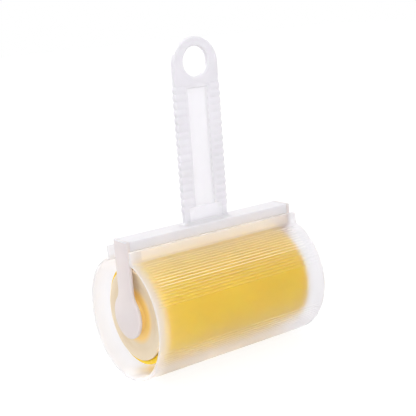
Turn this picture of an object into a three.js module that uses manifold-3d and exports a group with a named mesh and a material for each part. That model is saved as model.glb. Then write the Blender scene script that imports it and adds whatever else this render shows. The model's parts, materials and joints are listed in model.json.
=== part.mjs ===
// Reusable gel lint roller with its clip-round cover, in millimetres, +Z up.
// X runs along the roller, -Y is the front, and the origin is on the ground under the middle of the cover.
import * as THREE from 'three';
import { mergeVertices } from 'three/addons/utils/BufferGeometryUtils.js';
import Module from 'manifold-3d';

const wasm = await Module();
wasm.setup();

// ---- Cover: a C-shaped tube, open at both ends, with a full-length slot on top -------------------
const coverLength = 105;
const coverRadius = 31.6;
const coverWall = 1.4;
const lipOuter = 10.9;                        // half-width of the slot, to the outer faces of its lips
const lipInner = lipOuter - coverWall;
const coverAxisZ = coverRadius;               // the cover's lowest line touches the ground plane
const lipTopZ = coverAxisZ + 35.4;
const ridgeHeight = 0.25;
const ridgeHalfAngle = 0.55;                  // degrees
const ridgePitch = 2.85;                      // degrees from ridge to ridge
const ridgeBands = [[25.5, 68.5], [111, 171]];  // degrees down each side from the top
const smoothStep = 3;                         // degrees between outline points where there are no ridges

// ---- Frame: handle, crossbar and two arms, hung a little forward of the loose cover's axis ------
const frameY = -1;
const barHalfLength = 51.6;
const barHalfDepth = 5.9;
const barTopZ = coverAxisZ + 39.6;
const barHeight = 4.3;
const barBottomZ = barTopZ - barHeight;
const barWall = 1.5;

const handleTopZ = coverAxisZ + 132.6;
const handleHalfWidth = 13.4;
const handleThickness = 3;
const holeRadius = 7.5;
const holeZ = coverAxisZ + 120.5;
const footRadius = 2.4;                       // fillets that spread the handle's foot on the crossbar
const gripFromZ = coverAxisZ + 45.4;
const gripToZ = coverAxisZ + 109.2;
const gripBumps = 17;
const bumpHeight = 0.5;
const windowHalfWidth = 6;
const windowFromZ = coverAxisZ + 48;
const windowToZ = coverAxisZ + 107.7;
const windowDepth = 0.8;                      // cut into each face
const footPanelHalfWidth = 9.5;
const footPanelFromZ = barTopZ + 1.6;
const footPanelDepth = 0.4;

const armOuterX = barHalfLength;
const armThickness = 2;
const armInnerX = armOuterX - armThickness;
const armHalfWidth = 6.1;
const paddleRadius = 11.4;
const neckRadius = 7;                         // fillets where the strap widens into the paddle

// ---- Roller: core tube, two end caps and the gel sleeve ------------------------------------------
const rollerZ = coverAxisZ + 0.7;
const paddleZ = rollerZ + 0.4;                // the paddle's round end is centred just above the pin
const pinRadius = 3;
const pinLength = 3.4;
const socketRadius = 3.3;
const socketDepth = 5;
const fitGap = 0.3;                           // between pieces that touch on the real object
const gelRadius = 25.6;
const gelHalfLength = 45.6;
const coreRadius = 22;
const coreWall = 2;
const coreHalfLength = 45.6;
const flangeRadius = 23;
const flangeOuterX = 47.3;
const flangeInnerX = coreHalfLength + fitGap;
const panRadius = 18;                         // the flange's face is dished inside this radius
const panDepth = 0.7;
const bossRadius = 9;
const bossOuterX = armInnerX - fitGap;
const plugWall = 2;
const plugInnerX = 36;

// ---- Materials -----------------------------------------------------------------------------------
const plastic = (color, roughness) => new THREE.MeshStandardMaterial({ color, roughness, metalness: 0 });
const frostedWhite = plastic(0xece9ee, 0.45);
const armWhite = plastic(0xe8dede, 0.45);
const frostedClear = plastic(0xeeeef2, 0.4);
const creamPlastic = plastic(0xe8d6be, 0.5);
const yellowGel = plastic(0xf0c030, 0.3);
const coreWhite = plastic(0xf0f0ea, 0.5);

const radians = THREE.MathUtils.degToRad;
const overshoot = 1;                          // cutting blocks stand this far out of what they cut

// ---- Solids: joining and cutting closed meshes ---------------------------------------------------
function toSolid(geometry) {
  const bare = geometry.index ? geometry.toNonIndexed() : geometry.clone();
  bare.deleteAttribute('normal');
  bare.deleteAttribute('uv');
  const merged = mergeVertices(bare, 1e-4);
  return new wasm.Manifold(new wasm.Mesh({
    numProp: 3,
    vertProperties: new Float32Array(merged.attributes.position.array),
    triVerts: new Uint32Array(merged.index.array),
  }));
}

function toGeometry(solid) {
  const mesh = solid.getMesh();
  const geometry = new THREE.BufferGeometry();
  geometry.setAttribute('position', new THREE.BufferAttribute(new Float32Array(mesh.vertProperties), 3));
  geometry.setIndex(new THREE.BufferAttribute(new Uint32Array(mesh.triVerts), 1));
  geometry.computeVertexNormals();
  return geometry;
}

function block(x0, x1, y0, y1, z0, z1) {
  const geometry = new THREE.BoxGeometry(x1 - x0, y1 - y0, z1 - z0);
  return geometry.translate((x0 + x1) / 2, (y0 + y1) / 2, (z0 + z1) / 2);
}

// An outline drawn in X and Z, given a thickness about the frame's middle plane.
function plateAlongY(shape, thickness, curveSegments = 24) {
  const geometry = new THREE.ExtrudeGeometry(shape, { depth: thickness, bevelEnabled: false, curveSegments });
  return geometry.rotateX(Math.PI / 2).translate(0, frameY + thickness / 2, 0);
}

// An outline drawn in Y and Z, pulled along X from x0.
function plateAlongX(shape, x0, depth, curveSegments = 32) {
  const geometry = new THREE.ExtrudeGeometry(shape, { depth, bevelEnabled: false, curveSegments });
  const turn = new THREE.Matrix4().makeBasis(
    new THREE.Vector3(0, 1, 0),
    new THREE.Vector3(0, 0, 1),
    new THREE.Vector3(1, 0, 0),
  );
  return geometry.applyMatrix4(turn).translate(x0, 0, 0);
}

// A [radius, x] profile drawn for the right-hand end, or its mirror image for the left-hand end.
function facing(side, profile) {
  return side > 0 ? profile : profile.map(([radius, x]) => [radius, -x]).reverse();
}

// A closed profile of [radius, x] points, in order of rising x up its outside, turned about the roller's axis.
function turned(profile, segments = 72) {
  const points = profile.map(([radius, x]) => new THREE.Vector2(radius, x));
  const geometry = new THREE.LatheGeometry(points, segments);
  return toSolid(geometry.rotateZ(-Math.PI / 2).translate(0, frameY, rollerZ));
}

// ---- Handle: a flat plate with a round hang hole, scalloped grip edges and sunk panels ----------
function handle() {
  const crownZ = handleTopZ - handleHalfWidth;
  const footZ = barTopZ;
  const shape = new THREE.Shape();
  const bumpPitch = (gripToZ - gripFromZ) / gripBumps;
  const bumpSteps = 6;
  const edgePoints = [];
  for (let i = 0; i <= gripBumps * bumpSteps; i += 1) {
    const z = gripFromZ + i * bumpPitch / bumpSteps;
    const swell = bumpHeight * Math.abs(Math.sin(Math.PI * i / bumpSteps));
    edgePoints.push([handleHalfWidth + swell, z]);
  }
  shape.moveTo(-handleHalfWidth - footRadius, footZ);
  shape.lineTo(handleHalfWidth + footRadius, footZ);
  shape.absarc(handleHalfWidth + footRadius, footZ + footRadius, footRadius, -Math.PI / 2, -Math.PI, true);
  edgePoints.forEach(([x, z]) => shape.lineTo(x, z));
  shape.lineTo(handleHalfWidth, crownZ);
  shape.absarc(0, crownZ, handleHalfWidth, 0, Math.PI, false);
  edgePoints.reverse().forEach(([x, z]) => shape.lineTo(-x, z));
  shape.absarc(-handleHalfWidth - footRadius, footZ + footRadius, footRadius, 0, -Math.PI / 2, true);
  const hole = new THREE.Path();
  hole.absarc(0, holeZ, holeRadius, 0, 2 * Math.PI, true);
  shape.holes.push(hole);

  let solid = toSolid(plateAlongY(shape, handleThickness));
  for (const side of [-1, 1]) {
    const face = frameY + side * handleThickness / 2;
    const sink = (halfWidth, z0, z1, depth) => {
      const y0 = Math.min(face - side * depth, face + side * overshoot);
      const y1 = Math.max(face - side * depth, face + side * overshoot);
      solid = solid.subtract(toSolid(block(-halfWidth, halfWidth, y0, y1, z0, z1)));
    };
    sink(windowHalfWidth, windowFromZ, windowToZ, windowDepth);
    sink(footPanelHalfWidth, footPanelFromZ, windowFromZ, footPanelDepth);
  }
  return toGeometry(solid);
}

// ---- Crossbar: a channel that is open underneath, with solid ends over the arms -----------------
function crossbar() {
  const outer = block(
    -barHalfLength, barHalfLength, frameY - barHalfDepth, frameY + barHalfDepth, barBottomZ, barTopZ);
  const inner = block(
    -armInnerX + barWall, armInnerX - barWall,
    frameY - barHalfDepth + barWall, frameY + barHalfDepth - barWall,
    barBottomZ - overshoot, barTopZ - barWall);
  return toGeometry(toSolid(outer).subtract(toSolid(inner)));
}

// ---- Arms: a strap from the crossbar's end to a round paddle with a pivot pin on its inside -----
function arm(side) {
  const neckOffset = armHalfWidth + neckRadius;
  const neckRise = Math.sqrt((paddleRadius + neckRadius) ** 2 - neckOffset ** 2);
  const neckAngle = Math.atan2(neckRise, neckOffset);
  const shape = new THREE.Shape();
  shape.moveTo(frameY - armHalfWidth, barBottomZ);
  shape.absarc(frameY - neckOffset, paddleZ + neckRise, neckRadius, 0, -neckAngle, true);
  shape.absarc(frameY, paddleZ, paddleRadius, Math.PI - neckAngle, neckAngle, false);
  shape.absarc(frameY + neckOffset, paddleZ + neckRise, neckRadius, Math.PI + neckAngle, Math.PI, true);
  shape.lineTo(frameY + armHalfWidth, barBottomZ);
  shape.closePath();
  const strap = toSolid(plateAlongX(shape, side > 0 ? armInnerX : -armOuterX, armThickness));

  const rootX = armInnerX + armThickness / 2;
  const tipX = armInnerX - pinLength;
  const taper = 0.5;
  const pinProfile = [
    [0, tipX],
    [pinRadius - taper, tipX],
    [pinRadius, tipX + taper],
    [pinRadius, rootX],
    [0, rootX],
  ];
  const pin = turned(facing(side, pinProfile), 36);
  return toGeometry(strap.add(pin));
}

// ---- Roller pieces -------------------------------------------------------------------------------
function rollerCore() {
  const inner = coreRadius - coreWall;
  return toGeometry(turned([
    [coreRadius, -coreHalfLength],
    [coreRadius, coreHalfLength],
    [inner, coreHalfLength],
    [inner, -coreHalfLength],
    [coreRadius, -coreHalfLength],
  ]));
}

function gelSleeve() {
  const inner = coreRadius + fitGap;
  const round = 0.8;
  return toGeometry(turned([
    [inner, -gelHalfLength],
    [gelRadius - round, -gelHalfLength],
    [gelRadius, -gelHalfLength + round],
    [gelRadius, gelHalfLength - round],
    [gelRadius - round, gelHalfLength],
    [inner, gelHalfLength],
    [inner, -gelHalfLength],
  ], 96));
}

// A flange over the core's end, a plug inside it and a boss with the pin's socket.
function endCap(side) {
  const plugRadius = coreRadius - coreWall - fitGap;
  const panX = flangeOuterX - panDepth;
  const round = 0.5;
  const profile = [
    [0, bossOuterX - socketDepth],
    [socketRadius, bossOuterX - socketDepth],
    [socketRadius, bossOuterX],
    [bossRadius, bossOuterX],
    [bossRadius, panX],
    [panRadius, panX],
    [panRadius + panDepth, flangeOuterX],
    [flangeRadius - round, flangeOuterX],
    [flangeRadius, flangeOuterX - round],
    [flangeRadius, flangeInnerX],
    [plugRadius, flangeInnerX],
    [plugRadius, plugInnerX],
    [plugRadius - plugWall, plugInnerX],
    [plugRadius - plugWall, flangeInnerX - plugWall],
    [socketRadius + plugWall, flangeInnerX - plugWall],
    [socketRadius + plugWall, bossOuterX - socketDepth - plugWall],
    [0, bossOuterX - socketDepth - plugWall],
  ].reverse();
  return toGeometry(turned(facing(side, profile)));
}

// ---- Cover: outline of the C with its ridges and lips, pulled along X ---------------------------
function cover() {
  const outerLipAngle = THREE.MathUtils.radToDeg(Math.asin(lipOuter / coverRadius));
  const innerRadius = coverRadius - coverWall;
  const onCover = (radius, degrees) => [
    radius * Math.sin(radians(degrees)),
    coverAxisZ + radius * Math.cos(radians(degrees)),
  ];
  const halfOutline = [];
  let smoothFrom = outerLipAngle;
  for (const [from, to] of ridgeBands) {
    const smoothSteps = Math.max(1, Math.round((from - smoothFrom) / smoothStep));
    for (let i = 0; i < smoothSteps; i += 1) {
      halfOutline.push(onCover(coverRadius, smoothFrom + i * (from - smoothFrom) / smoothSteps));
    }
    for (let angle = from; angle <= to; angle += ridgePitch) {
      halfOutline.push(onCover(coverRadius, angle - ridgeHalfAngle));
      halfOutline.push(onCover(coverRadius + ridgeHeight, angle));
      halfOutline.push(onCover(coverRadius, angle + ridgeHalfAngle));
      smoothFrom = angle + 2 * ridgeHalfAngle;
    }
  }
  for (let angle = smoothFrom; angle < 180 - smoothStep / 2; angle += smoothStep) {
    halfOutline.push(onCover(coverRadius, angle));
  }
  const mirrored = halfOutline.map(([y, z]) => [-y, z]).reverse();
  const shape = new THREE.Shape();
  shape.moveTo(lipInner, lipTopZ);
  shape.lineTo(lipOuter, lipTopZ);
  halfOutline.forEach(([y, z]) => shape.lineTo(y, z));
  shape.lineTo(...onCover(coverRadius, 180));
  mirrored.forEach(([y, z]) => shape.lineTo(y, z));
  shape.lineTo(-lipOuter, lipTopZ);
  shape.lineTo(-lipInner, lipTopZ);
  const innerStart = Math.PI / 2 + Math.asin(lipInner / innerRadius);
  const innerEnd = 2.5 * Math.PI - Math.asin(lipInner / innerRadius);
  shape.absarc(0, coverAxisZ, innerRadius, innerStart, innerEnd, false);
  shape.closePath();
  return toGeometry(toSolid(plateAlongX(shape, -coverLength / 2, coverLength, 100)));
}

// ---- Assembly ------------------------------------------------------------------------------------
const group = new THREE.Group();

function place(name, geometry, material) {
  const mesh = new THREE.Mesh(geometry, material);
  mesh.name = name;
  group.add(mesh);
}

place('handle', handle(), frostedWhite);
place('crossbar', crossbar(), frostedWhite);
place('left_arm', arm(-1), armWhite);
place('right_arm', arm(1), armWhite);
place('roller_core', rollerCore(), coreWhite);
place('left_end_cap', endCap(-1), creamPlastic);
place('right_end_cap', endCap(1), creamPlastic);
place('gel_sleeve', gelSleeve(), yellowGel);
place('cover', cover(), frostedClear);

export default group;
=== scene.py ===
"""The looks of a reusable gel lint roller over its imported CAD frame. Metres, +Z up, -Y is the front."""

import json
import math

import bmesh
import bpy
from mathutils import Matrix, Vector


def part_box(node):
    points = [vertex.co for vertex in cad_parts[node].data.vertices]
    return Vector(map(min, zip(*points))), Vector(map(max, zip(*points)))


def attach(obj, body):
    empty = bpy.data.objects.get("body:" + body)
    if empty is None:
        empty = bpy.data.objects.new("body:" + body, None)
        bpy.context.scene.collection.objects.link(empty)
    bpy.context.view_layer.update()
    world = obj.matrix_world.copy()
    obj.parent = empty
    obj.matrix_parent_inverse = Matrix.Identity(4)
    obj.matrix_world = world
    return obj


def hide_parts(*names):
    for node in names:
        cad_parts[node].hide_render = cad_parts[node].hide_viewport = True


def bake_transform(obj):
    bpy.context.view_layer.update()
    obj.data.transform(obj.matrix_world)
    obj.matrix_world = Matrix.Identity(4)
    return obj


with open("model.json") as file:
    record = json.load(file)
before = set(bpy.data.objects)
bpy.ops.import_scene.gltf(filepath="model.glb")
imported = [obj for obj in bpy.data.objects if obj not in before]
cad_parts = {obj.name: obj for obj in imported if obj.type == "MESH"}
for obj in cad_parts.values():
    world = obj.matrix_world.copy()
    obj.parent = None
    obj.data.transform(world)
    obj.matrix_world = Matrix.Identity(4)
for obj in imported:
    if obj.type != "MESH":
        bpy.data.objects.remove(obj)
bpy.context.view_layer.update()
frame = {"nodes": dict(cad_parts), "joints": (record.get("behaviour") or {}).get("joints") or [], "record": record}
MM = 0.001


# ---- Places, read from the frame -----------------------------------------------------------------
def position(rows, name):
    """Where the frame puts a joint or a mount."""
    return Vector(next(row["pos_m"] for row in rows if row["name"] == name))


cover_low, cover_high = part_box("cover")
handle_low, handle_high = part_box("handle")
bar_low, bar_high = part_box("crossbar")
gel_low, gel_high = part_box("gel_sleeve")
core_low, core_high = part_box("roller_core")
cap_low, cap_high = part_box("right_end_cap")
arm_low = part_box("right_arm")[0]
roller_axis = position(frame["joints"], "roller_spin")
hang_hole = position(frame["record"]["mounts"], "hang_hole")
frame_y = roller_axis.y                       # the middle plane of the handle and the arms


# ---- Mesh helpers --------------------------------------------------------------------------------
def new_object(name, vertices, faces, *plastics, smooth=True):
    """A mesh with one material slot for each of the plastics."""
    mesh = bpy.data.meshes.new(name)
    mesh.from_pydata([tuple(v) for v in vertices], [], faces)
    work = bmesh.new()
    work.from_mesh(mesh)
    bmesh.ops.remove_doubles(work, verts=work.verts, dist=1e-6)
    bmesh.ops.recalc_face_normals(work, faces=work.faces)
    work.to_mesh(mesh)
    work.free()
    mesh.polygons.foreach_set("use_smooth", [smooth] * len(mesh.polygons))
    for plastic in plastics:
        mesh.materials.append(plastic)
    made = bpy.data.objects.new(name, mesh)
    bpy.context.scene.collection.objects.link(made)
    return made


def bands(loops, count):
    """Quads that join each of a row of closed loops, with this many points each, to the next one."""
    faces = []
    for a in range(0, (loops - 1) * count, count):
        for i in range(count):
            j = (i + 1) % count
            faces.append((a + i, a + j, a + count + j, a + count + i))
    return faces


def end_faces(loops, count):
    """One face over the first of a row of loops and one over the last."""
    return [tuple(range(a, a + count)) for a in (0, (loops - 1) * count)]


def lathe(name, profile, plastic, segments):
    """A closed profile of (radius, x) points turned about the roller's axis."""
    turns = [2 * math.pi * i / segments for i in range(segments)]
    vertices = [
        Vector((x, roller_axis.y + radius * math.cos(t), roller_axis.z + radius * math.sin(t)))
        for radius, x in profile
        for t in turns
    ]
    return new_object(name, vertices, bands(len(profile), segments), plastic)


def arc(centre, radius, start, end, steps):
    """Points on an arc, from start to end in degrees."""
    turns = [math.radians(start + (end - start) * i / steps) for i in range(steps + 1)]
    return [(centre[0] + radius * math.cos(t), centre[1] + radius * math.sin(t)) for t in turns]


def smooth_step(low, high, value):
    t = min(1.0, max(0.0, (value - low) / (high - low)))
    return t * t * (3 - 2 * t)


def plateau(low, high, soft, value):
    """1 between low and high, easing to 0 over a width of 2 soft about each of them."""
    return smooth_step(low - soft, low + soft, value) * (1 - smooth_step(high - soft, high + soft, value))


def edge_round(distance, radius):
    """How far a surface drops near an edge rounded to this radius."""
    if distance >= radius:
        return 0.0
    return radius - math.sqrt(max(0.0, radius ** 2 - (radius - max(0.0, distance)) ** 2))


# ---- Material helpers ----------------------------------------------------------------------------
def material(name):
    made = bpy.data.materials.new(name)
    made.use_nodes = True
    nodes, links = made.node_tree.nodes, made.node_tree.links
    return made, nodes, links, nodes["Principled BSDF"]


def noise(nodes, links, scale, detail=3.0, stretch=(1, 1, 1)):
    """3-D noise in the object's own metres, stretched along an axis by a small factor."""
    place = nodes.new("ShaderNodeTexCoord")
    mapping = nodes.new("ShaderNodeMapping")
    mapping.inputs["Scale"].default_value = stretch
    texture = nodes.new("ShaderNodeTexNoise")
    texture.inputs["Scale"].default_value = scale
    texture.inputs["Detail"].default_value = detail
    links.new(place.outputs["Object"], mapping.inputs["Vector"])
    links.new(mapping.outputs["Vector"], texture.inputs["Vector"])
    return texture.outputs["Fac"]


def remap(nodes, links, value, from_low, from_high, low, high):
    made = nodes.new("ShaderNodeMapRange")
    made.inputs["From Min"].default_value = from_low
    made.inputs["From Max"].default_value = from_high
    made.inputs["To Min"].default_value = low
    made.inputs["To Max"].default_value = high
    links.new(value, made.inputs["Value"])
    return made.outputs["Result"]


def spread(nodes, links, value, low, high):
    """Numbers between two ends, driven by the middle of a noise's range."""
    return remap(nodes, links, value, 0.3, 0.7, low, high)


def mix(nodes, links, factor, first, second):
    """A colour between two ends, each a colour or another node's output."""
    made = nodes.new("ShaderNodeMix")
    made.data_type = "RGBA"
    links.new(factor, made.inputs["Factor"])
    for name, end in (("A", first), ("B", second)):
        if isinstance(end, tuple):
            made.inputs[name].default_value = (*end, 1)
        else:
            links.new(end, made.inputs[name])
    return made.outputs["Result"]


def cloudy_colour(nodes, links, shader, scale, shade, light):
    """A base colour that drifts between two close tones."""
    cloud = spread(nodes, links, noise(nodes, links, scale), 0, 1)
    links.new(mix(nodes, links, cloud, shade, light), shader.inputs["Base Color"])


def bump(nodes, links, shader, value, strength, distance):
    made = nodes.new("ShaderNodeBump")
    made.inputs["Strength"].default_value = strength
    made.inputs["Distance"].default_value = distance
    links.new(value, made.inputs["Height"])
    links.new(made.outputs["Normal"], shader.inputs["Normal"])


def vector_math(nodes, links, operation, value, second=None):
    """A vector node on another node's output, with a fixed second vector where it takes one."""
    made = nodes.new("ShaderNodeVectorMath")
    made.operation = operation
    links.new(value, made.inputs[0])
    if second is not None:
        made.inputs[1].default_value = second
    return made


# ---- Materials -----------------------------------------------------------------------------------
CLEAR_TONES = ((0.8, 0.79, 0.808), (0.83, 0.82, 0.838))  # shade and light
# Milky tones, for the lip and for the ridges' crests, where they are partly painted light from above.
MILKY_TONES = ((0.93, 0.91, 0.9), (0.96, 0.94, 0.93))
PAINTED_GLOW_FROM = 15.2 * MM                         # radius on an end cap where its painted yellow glow starts
PAINTED_GLOW_FULL = 12.2 * MM
PAINTED_GLOW_YELLOW = (0.95, 0.64, 0.19)
PAINTED_GEL_LIGHT_YELLOW = (0.98, 0.67, 0.2)               # painted pool of yellow light on the floor under the gel
# Where that painted yellow light is gone and where it is full: towards the roller's ends, its front and its back.
PAINTED_GEL_LIGHT_ENDS = (gel_high.x + 3 * MM, gel_high.x - 8 * MM)
PAINTED_GEL_LIGHT_FRONT = (-6.5 * MM, -3 * MM)
PAINTED_GEL_LIGHT_BACK = (11 * MM, 4 * MM)


def frosted_plastic(name, light, shade, transmission, roughness=0.34, grain=0.2):
    """Natural polypropylene, spark-eroded to a fine grain: milky, satin, passing a little light."""
    made, nodes, links, shader = material(name)
    cloudy_colour(nodes, links, shader, 70.0, shade, light)
    fine = noise(nodes, links, scale=2600.0, detail=2.0)
    links.new(spread(nodes, links, fine, roughness - 0.05, roughness + 0.06), shader.inputs["Roughness"])
    shader.inputs["Transmission Weight"].default_value = transmission
    shader.inputs["IOR"].default_value = 1.49
    shader.inputs["Subsurface Weight"].default_value = 0.35
    shader.inputs["Subsurface Radius"].default_value = (1.0, 0.9, 1.0)
    shader.inputs["Subsurface Scale"].default_value = 3 * MM
    if grain:
        bump(nodes, links, shader, fine, strength=grain, distance=0.06 * MM)
    return made


def cap_disc_plastic():
    """Cream plastic with a painted warm glow: a faint emission all over, and a base colour painted yellower
    towards the middle of the disc, for the gel's light coming through it.
    """
    made = frosted_plastic(
        "cream_end_cap", light=(0.77, 0.66, 0.5), shade=(0.73, 0.62, 0.46),
        transmission=0.12, roughness=0.4)
    nodes, links = made.node_tree.nodes, made.node_tree.links
    shader = nodes["Principled BSDF"]
    # Painted glow: a faint warm emission all over the cap, though it is no lamp.
    shader.inputs["Emission Color"].default_value = (1, 0.66, 0.25, 1)
    shader.inputs["Emission Strength"].default_value = 0.06
    # Painted glow: the base colour turns yellow towards the disc's middle, standing for the gel's light shining
    # through.
    place = nodes.new("ShaderNodeTexCoord")
    centred = vector_math(nodes, links, "SUBTRACT", place.outputs["Object"], roller_axis)
    flat = vector_math(nodes, links, "MULTIPLY", centred.outputs["Vector"], (0, 1, 1))
    radius = vector_math(nodes, links, "LENGTH", flat.outputs["Vector"])
    inward = remap(nodes, links, radius.outputs["Value"], PAINTED_GLOW_FROM, PAINTED_GLOW_FULL, 0, 1)
    plain = shader.inputs["Base Color"].links[0].from_socket
    links.new(mix(nodes, links, inward, plain, PAINTED_GLOW_YELLOW), shader.inputs["Base Color"])
    return made


def pale_shadow(nodes, links, share):
    """Lets a share of the lamps' and the sky's light straight through a clear wall."""
    path = nodes.new("ShaderNodeLightPath")
    clear = nodes.new("ShaderNodeBsdfTransparent")
    clear.inputs["Color"].default_value = (share, share - 0.01, share - 0.02, 1)
    choice = nodes.new("ShaderNodeMixShader")
    links.new(path.outputs["Is Shadow Ray"], choice.inputs["Fac"])
    links.new(nodes["Principled BSDF"].outputs["BSDF"], choice.inputs[1])
    links.new(clear.outputs["BSDF"], choice.inputs[2])
    links.new(choice.outputs["Shader"], nodes["Material Output"].inputs["Surface"])


def clear_cover(name, transmission, tones=CLEAR_TONES, ior=1.18, shadow=0.55):
    """Thin clear polypropylene, frosted so that it hazes and softens what lies behind it."""
    made, nodes, links, shader = material(name)
    cloudy_colour(nodes, links, shader, 40.0, *tones)
    fine = noise(nodes, links, scale=1800.0, detail=2.0)
    flow = noise(nodes, links, scale=300.0, stretch=(0.06, 1, 1))
    links.new(spread(nodes, links, fine, 0.96, 1.0), shader.inputs["Roughness"])
    shader.inputs["Transmission Weight"].default_value = transmission
    shader.inputs["IOR"].default_value = ior
    bump(nodes, links, shader, flow, strength=0.2, distance=0.12 * MM)
    pale_shadow(nodes, links, shadow)
    return made


def sticky_gel():
    """Soft tacky gel: deep yellow, wet-looking, light scatters inside it."""
    made, nodes, links, shader = material("yellow_gel")
    cloudy_colour(nodes, links, shader, 55.0, (0.89, 0.575, 0.003), (0.94, 0.635, 0.005))
    ripple = noise(nodes, links, scale=220.0, detail=2.0, stretch=(0.4, 1, 1))
    links.new(spread(nodes, links, ripple, 0.2, 0.3), shader.inputs["Roughness"])
    shader.inputs["Subsurface Weight"].default_value = 0.5
    shader.inputs["Subsurface Radius"].default_value = (1.0, 0.7, 0.12)
    shader.inputs["Subsurface Scale"].default_value = 3 * MM
    shader.inputs["Specular IOR Level"].default_value = 0.25
    bump(nodes, links, shader, ripple, strength=0.3, distance=0.2 * MM)
    return made


def floor_paint():
    """A white light table, with a painted pool of yellow light right under the roller, for the light that comes
    down through the gel.
    """
    made, nodes, links, shader = material("pale_floor")
    place = nodes.new("ShaderNodeTexCoord")
    split = nodes.new("ShaderNodeSeparateXYZ")
    along = nodes.new("ShaderNodeMath")
    along.operation = "ABSOLUTE"
    links.new(place.outputs["Object"], split.inputs["Vector"])
    links.new(split.outputs["X"], along.inputs[0])
    under = remap(nodes, links, along.outputs["Value"], *PAINTED_GEL_LIGHT_ENDS, 0, 1)
    for side in (PAINTED_GEL_LIGHT_FRONT, PAINTED_GEL_LIGHT_BACK):
        both = nodes.new("ShaderNodeMath")
        both.operation = "MULTIPLY"
        links.new(under, both.inputs[0])
        links.new(remap(nodes, links, split.outputs["Y"], *side, 0, 1), both.inputs[1])
        under = both.outputs["Value"]
    # Painted light: the floor's emission turns yellow under the roller.
    links.new(mix(nodes, links, under, (1, 1, 1), PAINTED_GEL_LIGHT_YELLOW), shader.inputs["Emission Color"])
    shader.inputs["Emission Strength"].default_value = 0.87
    shader.inputs["Base Color"].default_value = (0.15, 0.15, 0.15, 1)
    shader.inputs["Roughness"].default_value = 0.9
    shader.inputs["Specular IOR Level"].default_value = 0.1
    return made


handle_plastic = frosted_plastic(
    "handle_frosted_white", light=(0.82, 0.805, 0.845), shade=(0.78, 0.765, 0.805), transmission=0.2)
# A whiter, more see-through copy of the handle plastic: painted light where light shines through the handle's thin
# web, and a painted highlight on the straps' top outer edges.
painted_light_plastic = frosted_plastic(
    "painted_light_white", light=(0.975, 0.955, 1.0), shade=(0.955, 0.935, 0.985),
    transmission=0.4, roughness=0.5, grain=0)
arm_plastic = frosted_plastic(
    "arm_frosted_white", light=(0.86, 0.785, 0.785), shade=(0.83, 0.755, 0.755), transmission=0.25)
cap_plastic = cap_disc_plastic()
core_plastic = frosted_plastic(
    "core_white", light=(0.85, 0.85, 0.82), shade=(0.8, 0.8, 0.78), transmission=0.1)
cover_plastic = clear_cover("clear_frosted_cover", 0.985)
rim_plastic = clear_cover("cover_rim", 0.6)
# Ridge crests: a whiter milky tone, partly frost and partly painted light from above.
ridge_plastic = clear_cover("cover_ridge", 0.52, MILKY_TONES)
end_plastics = [
    clear_cover(f"cover_end_{i}", transmission, shadow=0.72)
    for i, transmission in enumerate((0.76, 0.84, 0.91))
]
lip_plastic = clear_cover("cover_lip", 0.9, MILKY_TONES, ior=1.35)
gel = sticky_gel()


# ---- Handle: one skin over the grip and the eye around the hang hole ----------------------------
HALF_THICK = (handle_high.y - handle_low.y) / 2
HALF_WIDTH = 13.4 * MM
EDGE_RADIUS = 0.8 * MM
FOOT_Z = bar_high.z
FOOT_FLARE = 2.4 * MM                         # fillets where the grip stands on the crossbar
FOOT_FILLET = 1.2 * MM
GRIP_FROM = FOOT_Z + 5.8 * MM
GRIP_TO = FOOT_Z + 69.6 * MM
RIB_COUNT = 17
RIB_PITCH = (GRIP_TO - GRIP_FROM) / RIB_COUNT
RIB_HEIGHT = 0.5 * MM                         # how far a rib stands out at the grip's sides
RIB_DEPTH = 0.28 * MM                         # and how far the faces sink between two ribs
WINDOW_HALF = 6 * MM                          # the long thin web in the grip's middle
WINDOW_FROM = FOOT_Z + 8.4 * MM
WINDOW_TO = FOOT_Z + 68.1 * MM
WINDOW_DEPTH = 0.6 * MM
FOOT_PANEL_HALF = 10.2 * MM                   # the thin web between the window and the crossbar
FOOT_PANEL_FROM = FOOT_Z + 1.0 * MM
FOOT_PANEL_DEPTH = 0.4 * MM
PANEL_HALF = 7.2 * MM                         # shallow sunk panel around the window
PANEL_TO = WINDOW_TO + 3.2 * MM
PANEL_DEPTH = 0.2 * MM
PANEL_PEAK = 0.35                             # how fast the panel's top falls away from its middle
HOLE = 7.5 * MM
HOLE_EDGE = 0.9 * MM
DISH_WIDTH = 5.0 * MM                         # shallow dish round the hang hole
DISH_DEPTH = 0.22 * MM
DISH_FADE = (-0.85, -0.2)                     # sines of the directions below the hole where it fades
CROWN_Z = handle_high.z - HALF_WIDTH          # centre of the round top
JOIN_Z = hang_hole.z - HOLE - 3.0 * MM        # where the grip's rows meet the eye's spokes
SPOKES = 96
FACING = 0.8                                  # share of a normal that makes its face front or back


def flare(z, radius):
    """How far a fillet of this radius stands out at height z above the crossbar."""
    rise = min(radius, max(0.0, z - FOOT_Z))
    return radius - math.sqrt(radius ** 2 - (radius - rise) ** 2)


def rib(z):
    """0 to 1 along the grip: high on each finger rib, fading out at both ends."""
    wave = abs(math.sin(math.pi * (z - GRIP_FROM) / RIB_PITCH)) ** 0.8
    return wave * plateau(GRIP_FROM, GRIP_TO, MM, z)


def half_width(z):
    return HALF_WIDTH + flare(z, FOOT_FLARE) + RIB_HEIGHT * rib(z)


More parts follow.
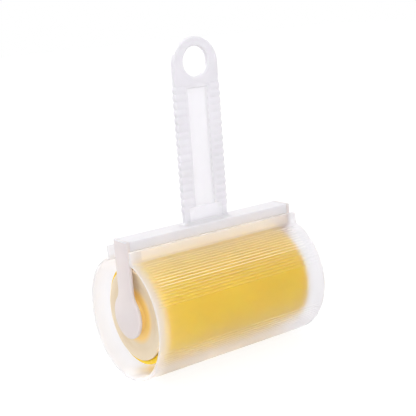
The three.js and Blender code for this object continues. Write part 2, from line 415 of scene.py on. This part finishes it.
def half_thickness(u, z, edge_distance):
    """Half the handle's thickness at a point: rounded edges, ribbed bands, sunk panels and window."""
    across = abs(u)
    grip_band = smooth_step(PANEL_HALF, PANEL_HALF + 0.7 * MM, across)
    grip_band *= plateau(GRIP_FROM, GRIP_TO, MM, z)
    panel = 1 - smooth_step(PANEL_HALF - 0.4 * MM, PANEL_HALF + 0.2 * MM, across)
    panel *= plateau(WINDOW_FROM, PANEL_TO - PANEL_PEAK * across, 0.35 * MM, z)
    window = 1 - smooth_step(WINDOW_HALF - 0.25 * MM, WINDOW_HALF + 0.3 * MM, across)
    window *= plateau(WINDOW_FROM, WINDOW_TO, 0.3 * MM, z)
    foot = 1 - smooth_step(FOOT_PANEL_HALF - 0.7 * MM, FOOT_PANEL_HALF + 0.7 * MM, across)
    foot *= plateau(FOOT_PANEL_FROM, WINDOW_FROM, 0.5 * MM, z)
    thick = HALF_THICK - RIB_DEPTH * grip_band * (1 - rib(z))
    thick -= PANEL_DEPTH * panel
    thick -= WINDOW_DEPTH * window
    thick -= FOOT_PANEL_DEPTH * foot
    return thick + flare(z, FOOT_FILLET) - edge_round(edge_distance, EDGE_RADIUS)


def eye_thickness(u, z, radius):
    """Half the thickness around the hang hole: a rounded rim, then a shallow dish outside it."""
    edge = HALF_WIDTH - (abs(u) if z <= CROWN_Z else math.hypot(u, z - CROWN_Z))
    outward = radius - HOLE
    dish = math.sin(math.pi * min(1.0, max(0.0, outward / DISH_WIDTH))) ** 2
    dish_share = smooth_step(*DISH_FADE, (z - hang_hole.z) / radius)
    rim = edge_round(outward, HOLE_EDGE)
    return half_thickness(u, z, edge) - rim - DISH_DEPTH * dish * dish_share


def spoke_reach(angle):
    """Distance from the hole's centre along this angle to the handle's outline or the grip's top row."""
    dx, dz = math.cos(angle), math.sin(angle)
    if dz < 0:
        down = (JOIN_Z - hang_hole.z) / dz
        if abs(dx * down) <= HALF_WIDTH * 1.0001:
            return down
    if abs(dx) > 1e-9:
        side = HALF_WIDTH / abs(dx)
        if hang_hole.z + dz * side <= CROWN_Z:
            return side
    offset = hang_hole.z - CROWN_Z
    return -offset * dz + math.sqrt(HALF_WIDTH ** 2 - (offset * dx) ** 2)


def grip_columns():
    """Places across the grip, as shares of its half-width, closest where its thickness changes."""
    from_edge = [0, 0.04, 0.14, 0.3, 0.52, 0.8, 1.2, 2.2, 3.4, 4.4, 5.2, 5.55, 5.85, 6.15, 6.45]
    from_middle = [6.8, 6.5, 6.25, 6.0, 5.8, 5.4, 4.2, 2.8, 1.4, 0]
    halves = [1 - d * MM / HALF_WIDTH for d in from_edge] + [d * MM / HALF_WIDTH for d in from_middle]
    return sorted({-h for h in halves} | set(halves))


def grip_rows():
    """Heights up the grip, closest together in its foot's fillets and at the ends of the sunk panels."""
    steps_per_rib = 12
    step = RIB_PITCH / steps_per_rib
    foot_top = FOOT_Z + FOOT_FLARE
    foot_step = 0.2 * MM
    rows = {FOOT_Z + foot_step * i for i in range(-1, 13)}
    rows |= {foot_top + i * step for i in range(1, int((JOIN_Z - foot_top) / step))}
    ledge = [d * MM for d in (-0.3, -0.15, 0, 0.15, 0.3)]
    rows |= {z + d for z in (WINDOW_FROM, WINDOW_TO, PANEL_TO - 2 * MM) for d in ledge}
    return sorted(rows | {JOIN_Z})


def is_web(polygon):
    """Whether a face lies in the window or the foot panel, where the handle is a thin web."""
    x, z = abs(polygon.center.x), polygon.center.z
    in_window = x < WINDOW_HALF and WINDOW_FROM < z < WINDOW_TO
    in_foot = x < FOOT_PANEL_HALF and FOOT_PANEL_FROM < z < WINDOW_FROM
    return (in_window or in_foot) and abs(polygon.normal.y) > FACING


def handle():
    columns = grip_columns()
    rows = grip_rows()
    row_count, row = len(rows), len(columns)
    down = sorted(math.atan2(JOIN_Z - hang_hole.z, c * HALF_WIDTH) for c in columns)
    sweep = down[0] + 2 * math.pi - down[-1]
    angles = down + [down[-1] + sweep * i / SPOKES for i in range(1, SPOKES)]
    shares = [0, 0.008, 0.03, 0.07, 0.13, 0.22, 0.35, 0.5, 0.65, 0.78, 0.87, 0.93, 0.97, 0.992, 1]
    spoke = len(shares)

    vertices, faces = [], []
    for face in (-1, 1):
        base = len(vertices)
        for z in rows:
            width = half_width(z)
            for c in columns:
                u = c * width
                vertices.append((u, frame_y + face * half_thickness(u, z, width - abs(u)), z))
        for r in range(row_count - 1):
            for c in range(row - 1):
                a = base + r * row + c
                faces.append((a, a + 1, a + row + 1, a + row))
        eye = len(vertices)
        for angle in angles:
            reach = spoke_reach(angle)
            for share in shares:
                radius = HOLE + (reach - HOLE) * share
                u, z = radius * math.cos(angle), hang_hole.z + radius * math.sin(angle)
                vertices.append((u, frame_y + face * eye_thickness(u, z, radius), z))
        for s in range(len(angles)):
            t = (s + 1) % len(angles)
            for k in range(spoke - 1):
                a, b = eye + s * spoke + k, eye + t * spoke + k
                faces.append((a, a + 1, b + 1, b))
    half_count = len(vertices) // 2

    def wall(loop):
        """Faces from the front skin to the back one, along a row of the front skin's points."""
        for p, q in zip(loop, loop[1:]):
            faces.append((p, q, q + half_count, p + half_count))

    wall([r * row for r in range(row_count)])
    wall([r * row + row - 1 for r in range(row_count)])
    wall(list(range(row)))
    eye = row_count * row
    hole_rim = [eye + s * spoke for s in range(len(angles))]
    wall(hole_rim + hole_rim[:1])
    wall([eye + s * spoke + spoke - 1 for s in range(row - 1, len(angles))] + [eye + spoke - 1])

    piece = new_object("grip_handle", vertices, faces, handle_plastic, painted_light_plastic)
    piece.data.set_sharp_from_angle(angle=math.radians(60))
    # Window and foot panel faces take the whiter plastic: the thin web really passes more light, and its whiter
    # colour is painted light.
    for polygon in piece.data.polygons:
        polygon.material_index = int(is_web(polygon))
    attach(piece, "frame")
    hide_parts("handle")


handle()


# ---- Crossbar: a channel, open underneath, with rounded edges ------------------------------------
ARM_OUTER = bar_high.x
ARM_INNER = ARM_OUTER - 2 * MM
OVERLAP = 0.7 * MM                            # the crossbar runs on into the straps, as one moulding
SKIRT = 0.8 * MM                              # its rounded lower edge is hidden behind the cover's lips
BAR_WALL = 1.5 * MM
BAR_EDGE = 0.55 * MM


def round_edges(piece, width, segments):
    """A bevel on every sharp edge, with normals that keep the flat faces flat."""
    bevel = piece.modifiers.new("rounded", "BEVEL")
    bevel.width = width
    bevel.segments = segments
    bevel.limit_method = "ANGLE"
    bevel.angle_limit = math.radians(35)
    bevel.harden_normals = True


def crossbar():
    bottom = bar_low.z - SKIRT
    outer_low = Vector((-ARM_INNER - OVERLAP, bar_low.y, bottom))
    outer_high = Vector((ARM_INNER + OVERLAP, bar_high.y, bar_high.z))
    low = Vector((BAR_WALL - ARM_INNER, bar_low.y + BAR_WALL, bottom))
    high = Vector((ARM_INNER - BAR_WALL, bar_high.y - BAR_WALL, bar_high.z - BAR_WALL))

    def corners(a, b, z):
        return [(a.x, a.y, z), (b.x, a.y, z), (b.x, b.y, z), (a.x, b.y, z)]

    vertices = corners(outer_low, outer_high, bottom) + corners(outer_low, outer_high, bar_high.z)
    vertices += corners(low, high, bottom) + corners(low, high, high.z)
    faces = [(4, 5, 6, 7), (12, 13, 14, 15)]
    for a, b in ((0, 1), (1, 2), (2, 3), (3, 0)):
        faces.append((a, b, b + 4, a + 4))
        faces.append((a, b, b + 8, a + 8))
        faces.append((a + 8, b + 8, b + 12, a + 12))
    piece = new_object("cross_bar", vertices, faces, handle_plastic)
    round_edges(piece, BAR_EDGE, segments=4)
    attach(piece, "frame")
    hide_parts("crossbar")


crossbar()


# ---- Arms: straps from the crossbar's top, with a rounded rim, ending in round paddles ----------
ARM_HALF = 6.1 * MM
ARM_EDGE = 0.6 * MM
PADDLE = 11.4 * MM
PADDLE_Z = arm_low.z + PADDLE
PADDLE_TOP = PADDLE_Z + PADDLE
NECK = 7 * MM                                 # fillet between the strap and its paddle
PIN = 3 * MM
PIN_LENGTH = 3.4 * MM
PIN_FILLET = 0.5 * MM
PIN_ROOT = 0.5 * MM                           # how far the pin runs into the strap


def arm_outline():
    """Points (y, z) round the strap and paddle, with a fillet where they meet."""
    neck_y = ARM_HALF + NECK
    neck_z = PADDLE_Z + math.sqrt((PADDLE + NECK) ** 2 - neck_y ** 2)
    lean = math.degrees(math.atan2(neck_z - PADDLE_Z, neck_y))
    strap_rows = 14
    right = [(ARM_HALF, bar_high.z + (neck_z - bar_high.z) * i / strap_rows) for i in range(strap_rows)]
    right += arc((neck_y, neck_z), NECK, 180, 180 + lean, 10)
    bottom = arc((0, PADDLE_Z), PADDLE, lean, -180 - lean, 64)
    left = [(-y, z) for y, z in reversed(right)]
    return right + bottom[1:-1] + left


def arm_inset(point, amount):
    """Moves an outline point inwards, across the strap or towards the paddle's centre."""
    y, z = point
    if z > PADDLE_TOP:
        return (y - math.copysign(amount, y), min(z, bar_high.z - amount))
    away = math.hypot(y, z - PADDLE_Z)
    share = (away - amount) / away
    return (y * share, PADDLE_Z + (z - PADDLE_Z) * share)


def arm(side, body):
    outline = arm_outline()
    half_way = 0.29 * ARM_EDGE                # the middle point of a rounded edge
    loops = [(ARM_INNER, ARM_EDGE), (ARM_INNER + 0.17 * ARM_EDGE, half_way), (ARM_INNER + ARM_EDGE, 0)]
    loops += [(ARM_OUTER - ARM_EDGE, 0), (ARM_OUTER - half_way, half_way), (ARM_OUTER, ARM_EDGE)]
    vertices = []
    for x, amount in loops:
        for point in outline:
            y, z = arm_inset(point, amount)
            vertices.append((side * x, frame_y + y, z))
    faces = bands(len(loops), len(outline)) + end_faces(len(loops), len(outline))
    piece = new_object(body + "_strap", vertices, faces, arm_plastic, painted_light_plastic)
    # Painted highlight: the strap's outer top edge takes the whiter plastic, where light glints on the rounded
    # edge.
    for polygon in piece.data.polygons:
        at_top = polygon.center.z > bar_high.z - ARM_EDGE
        outermost = abs(polygon.center.x) > ARM_OUTER - ARM_EDGE
        polygon.material_index = int(at_top and outermost)
    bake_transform(piece)
    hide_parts(body)

    tip = ARM_INNER - PIN_LENGTH
    root = ARM_INNER + PIN_ROOT
    profile = [
        (0, tip), (PIN - 0.7 * MM, tip), (PIN - 0.25 * MM, tip + 0.12 * MM), (PIN, tip + 0.5 * MM),
        (PIN, ARM_INNER - PIN_FILLET), (PIN + 0.15 * MM, ARM_INNER - 0.15 * MM),
        (PIN + PIN_FILLET, ARM_INNER), (PIN + PIN_FILLET, root), (0, root),
    ]
    pin = lathe(body + "_pin", [(r, side * x) for r, x in profile], arm_plastic, segments=48)
    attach(pin, body)


arm(-1, "left_arm")
arm(1, "right_arm")


# ---- Roller --------------------------------------------------------------------------------------
FIT_GAP = 0.3 * MM
GEL_EDGE = 0.9 * MM
CAP_FACE = 47.3 * MM                          # x of the disc's raised ring
CAP_EDGE = 0.6 * MM
CAP_WALL = 2 * MM
PAN = CAP_FACE - 0.7 * MM                     # x of the sunk face inside the ring
DISH = 18 * MM                                # radius of that sunk face
BOSS = 9 * MM
BOSS_FACE = cap_high.x
SOCKET = 3.3 * MM
SOCKET_FLOOR = BOSS_FACE - 5 * MM


def gel_sleeve():
    outer = (gel_high.y - gel_low.y) / 2
    inner = (core_high.y - core_low.y) / 2 + FIT_GAP
    end = gel_high.x
    corner = arc((end - GEL_EDGE, outer - GEL_EDGE), GEL_EDGE, 0, 90, 8)
    profile = [(inner, -end), (inner, end)] + [(r, x) for x, r in corner]
    profile += [(outer, share * end) for share in (0.8, 0.4, 0, -0.4, -0.8)]
    profile += [(r, -x) for x, r in reversed(corner)] + [(inner, -end)]
    piece = lathe("sticky_gel", profile, gel, segments=192)
    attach(piece, "roller")
    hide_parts("gel_sleeve")


def end_cap(side, node):
    """A dished disc with a raised ring, a boss around the pin's socket and a plug inside the core."""
    flange = (cap_high.y - cap_low.y) / 2
    flange_in = core_high.x + FIT_GAP
    plug = (core_high.y - core_low.y) / 2 - CAP_WALL - FIT_GAP
    plug_end = cap_low.x
    rim = [(r, x) for x, r in arc((CAP_FACE - CAP_EDGE, flange - CAP_EDGE), CAP_EDGE, 90, 0, 6)]
    profile = [
        (0, SOCKET_FLOOR), (SOCKET, SOCKET_FLOOR),
        (SOCKET, BOSS_FACE - 0.3 * MM), (SOCKET + 0.3 * MM, BOSS_FACE),
        (BOSS - 0.5 * MM, BOSS_FACE), (BOSS - 0.15 * MM, BOSS_FACE - 0.12 * MM),
        (BOSS, BOSS_FACE - 0.5 * MM), (BOSS + 0.1 * MM, PAN + 0.4 * MM), (BOSS + 0.5 * MM, PAN),
        (DISH - 0.4 * MM, PAN), (DISH + 0.3 * MM, PAN + 0.35 * MM), (DISH + 0.9 * MM, CAP_FACE),
    ]
    profile += rim[::-1]
    profile += [
        (flange, flange_in), (plug, flange_in), (plug, plug_end), (plug - CAP_WALL, plug_end),
        (plug - CAP_WALL, flange_in - CAP_WALL), (SOCKET + CAP_WALL, flange_in - CAP_WALL),
        (SOCKET + CAP_WALL, SOCKET_FLOOR - CAP_WALL), (0, SOCKET_FLOOR - CAP_WALL),
    ]
    piece = lathe(node + "_disc", [(r, side * x) for r, x in profile], cap_plastic, segments=144)
    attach(piece, "roller")
    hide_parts(node)


gel_sleeve()
end_cap(-1, "left_end_cap")
end_cap(1, "right_end_cap")
core = frame["nodes"]["roller_core"]
core.data.materials.clear()
core.data.materials.append(core_plastic)


# ---- Cover: the C-shaped shell with lips and fine ridges ----------------------------------------
WALL = 1.4 * MM
COVER_RADIUS = cover_high.y
COVER_AXIS_Z = cover_low.z + COVER_RADIUS
COVER_HALF = cover_high.x
LIP_OUTER = 10.9 * MM
LIP_INNER = LIP_OUTER - WALL
LIP_CORNER = 0.35 * MM
LIP_ANGLE = math.degrees(math.asin(LIP_OUTER / COVER_RADIUS))
LIP_ROOT_Z = COVER_AXIS_Z + COVER_RADIUS * math.cos(math.radians(LIP_ANGLE))
RIDGE_HEIGHT = 0.25 * MM
RIDGE_PITCH = 2.85                            # degrees, as are the next three
RIDGE_HALF = 0.75
RIDGE_BANDS = ((25.5, 68.5), (111, 171))      # down each side from the top
RIDGE_FADE = (53, 59, 65, 80)                 # the ridges' milky, whiter crests, partly painted light from above, get a step clearer past each of these
RIDGE_CREST = 0.55                            # share of a ridge's height where its milky top, partly painted light from above, begins
END_BANDS = (2.4, 4.4, 6.4)                   # mm from each end: three steps from milky to clear
END_MILKY = 0.5                               # mm from each end: the rim itself
CLEAR_SLOT, RIM_SLOT, RIDGE_SLOT, FADE_SLOT, LIP_SLOT = 0, 1, 2, 3, 6  # the fade takes slots 3 to 5


def down_side(angle):
    """Degrees down from the top, on whichever side is nearer."""
    return min(angle, 360 - angle)


def ridge(angle):
    """0 to 1: the height of the fine ridges at this angle round from the top."""
    side = down_side(angle)
    for low, high in RIDGE_BANDS:
        if low - 1 < side < high + 1:
            phase = (side - low) / RIDGE_PITCH
            return max(0.0, 1 - abs(phase - round(phase)) * RIDGE_PITCH / RIDGE_HALF)
    return 0.0


def on_circle(radius, degrees):
    """The point (y, z) this far from the cover's axis, at an angle round from the top."""
    t = math.radians(degrees)
    return (radius * math.sin(t), COVER_AXIS_Z + radius * math.cos(t))


def lip(inset):
    """Points (y, z) over the right-hand lip, from its inner face to where it meets the round."""
    top = cover_high.z - inset
    inner, outer = LIP_INNER + inset, LIP_OUTER - inset
    shave = 0.1 * MM
    return [
        (inner, top - LIP_CORNER), (inner + shave, top - shave), (LIP_INNER + LIP_CORNER, top),
        (LIP_OUTER - LIP_CORNER, top), (outer - shave, top - shave), (outer, top - LIP_CORNER),
        (outer, LIP_ROOT_Z + 2 * MM), (outer + 0.12 * MM, LIP_ROOT_Z + 0.9 * MM),
        (outer + 0.45 * MM, LIP_ROOT_Z + 0.25 * MM),
    ]


def cover_section(inset, ridge_share):
    """Points (y, z) round the C, pulled in by inset where the ends are rounded off."""
    right_lip = lip(inset)
    steps_per_ridge = 6
    steps = int(2 * (180 - LIP_ANGLE) / (RIDGE_PITCH / steps_per_ridge))
    round_outside = []
    for i in range(2, steps - 1):
        degrees = LIP_ANGLE + (360 - 2 * LIP_ANGLE) * i / steps
        radius = COVER_RADIUS + RIDGE_HEIGHT * ridge_share * ridge(degrees) - inset
        round_outside.append(on_circle(radius, degrees))
    left_lip = [(-y, z) for y, z in reversed(right_lip)]
    inner_radius = COVER_RADIUS - WALL
    start = math.degrees(math.asin(LIP_INNER / inner_radius))
    inner_steps = 140
    round_inside = [
        on_circle(inner_radius + inset, 360 - start - (360 - 2 * start) * i / inner_steps)
        for i in range(inner_steps + 1)
    ]
    return right_lip + round_outside + left_lip + round_inside


def cover_stations():
    """Places (x, inset, share of the ridges' height) along the cover, from its left end to its right."""
    near_rim = [(0, 0.5, 0), (0.12, 0.2, 0), (0.45, 0, 0), (1.6, 0, 0), (2.4, 0, 0.5), (3.2, 0, 1)]
    near_rim += [(d, 0, 1) for d in END_BANDS[1:]]
    stations = [(-COVER_HALF + d * MM, inset * MM, share) for d, inset, share in near_rim]
    stations += [(share * COVER_HALF, 0, 1) for share in (-0.75, -0.5, -0.25, 0, 0.25, 0.5, 0.75)]
    return stations + [(COVER_HALF - d * MM, inset * MM, share) for d, inset, share in reversed(near_rim)]


def cover_slot(middle):
    """The material slot of a cover's face with this middle: rim, ends, lips, milky ridges (partly painted light
    from above, fading down the sides) or clear.
    """
    height = middle.z - COVER_AXIS_Z
    angle = math.degrees(math.atan2(middle.y, height)) % 360
    down = down_side(angle)
    from_end = (COVER_HALF - abs(middle.x)) / MM
    outside = math.hypot(middle.y, height) > COVER_RADIUS - WALL / 2
    if from_end < END_MILKY or middle.z > cover_high.z - LIP_CORNER:
        return RIM_SLOT
    if from_end < END_BANDS[-1]:
        return FADE_SLOT + sum(from_end > d for d in END_BANDS)
    if abs(middle.y) < LIP_OUTER + 0.2 * MM and middle.z > LIP_ROOT_Z + 0.5 * MM:
        return LIP_SLOT
    # Painted light from above: the ridges' crests are milkier near the top and get a step clearer further down.
    if outside and ridge(angle) > RIDGE_CREST and down < RIDGE_FADE[-1]:
        return RIDGE_SLOT + sum(down > d for d in RIDGE_FADE)
    return CLEAR_SLOT


def cover():
    stations = cover_stations()
    sections = [cover_section(inset, share) for _, inset, share in stations]
    count = len(sections[0])
    vertices = [(station[0], y, z) for station, section in zip(stations, sections) for y, z in section]
    faces = bands(len(stations), count) + end_faces(len(stations), count)
    plastics = (cover_plastic, rim_plastic, ridge_plastic, *end_plastics, lip_plastic)
    piece = new_object("c_cover", vertices, faces, *plastics)
    for polygon in piece.data.polygons:
        polygon.material_index = cover_slot(polygon.center)
    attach(piece, "cover")
    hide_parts("cover")


cover()


# ---- Floor, light and camera ---------------------------------------------------------------------
def floor():
    half = 3.0
    corners = [(-half, -half, 0), (half, -half, 0), (half, half, 0), (-half, half, 0)]
    piece = new_object("floor", corners, [(0, 1, 2, 3)], floor_paint(), smooth=False)


def area_light(name, place, target, size, power):
    lamp = bpy.data.lights.new(name, "AREA")
    lamp.shape = "DISK"
    lamp.size = size
    lamp.energy = power
    made = bpy.data.objects.new(name, lamp)
    made.location = place
    made.rotation_mode = "QUATERNION"
    made.rotation_quaternion = (Vector(target) - Vector(place)).to_track_quat("-Z", "Y")
    bpy.context.scene.collection.objects.link(made)


def world_light():
    world = bpy.data.worlds.new("studio")
    world.use_nodes = True
    background = world.node_tree.nodes["Background"]
    background.inputs["Color"].default_value = (1, 1, 1, 1)
    background.inputs["Strength"].default_value = 1.0
    bpy.context.scene.world = world


def camera():
    """Placed by its distance and two offsets, as seen along its own axes, from the cover's middle."""
    azimuth = math.radians(-35.75)
    elevation = math.radians(12.73)
    roll = math.radians(-4.07)
    distance = 495.06 * MM
    shift_right = -0.87 * MM
    shift_up = 44.63 * MM
    right = Vector((math.cos(azimuth), math.sin(azimuth), 0))
    flat_forward = Vector((-math.sin(azimuth), math.cos(azimuth), 0))
    forward = math.cos(elevation) * flat_forward - math.sin(elevation) * Vector((0, 0, 1))
    up = right.cross(forward)
    rolled_right = math.cos(roll) * right + math.sin(roll) * up
    rolled_up = -math.sin(roll) * right + math.cos(roll) * up
    target = Vector((0, 0, COVER_AXIS_Z))
    place = target - forward * distance + rolled_right * shift_right + rolled_up * shift_up
    lens = bpy.data.cameras.new("camera")
    lens.lens = 82.04
    lens.sensor_width = 36.0
    made = bpy.data.objects.new("camera", lens)
    turn = Matrix((rolled_right, rolled_up, -forward)).transposed()
    made.matrix_world = Matrix.Translation(place) @ turn.to_4x4()
    bpy.context.scene.collection.objects.link(made)
    bpy.context.scene.camera = made


floor()
world_light()
area_light("soft_box_above", place=(-0.25, -0.45, 0.9), target=(0, 0, 0.06), size=0.6, power=2.6)
area_light("rim_light_behind", place=(-0.16, 0.5, 0.44), target=(0, 0, 0.08), size=0.12, power=1.0)
camera()
bpy.context.scene.view_settings.view_transform = "Standard"
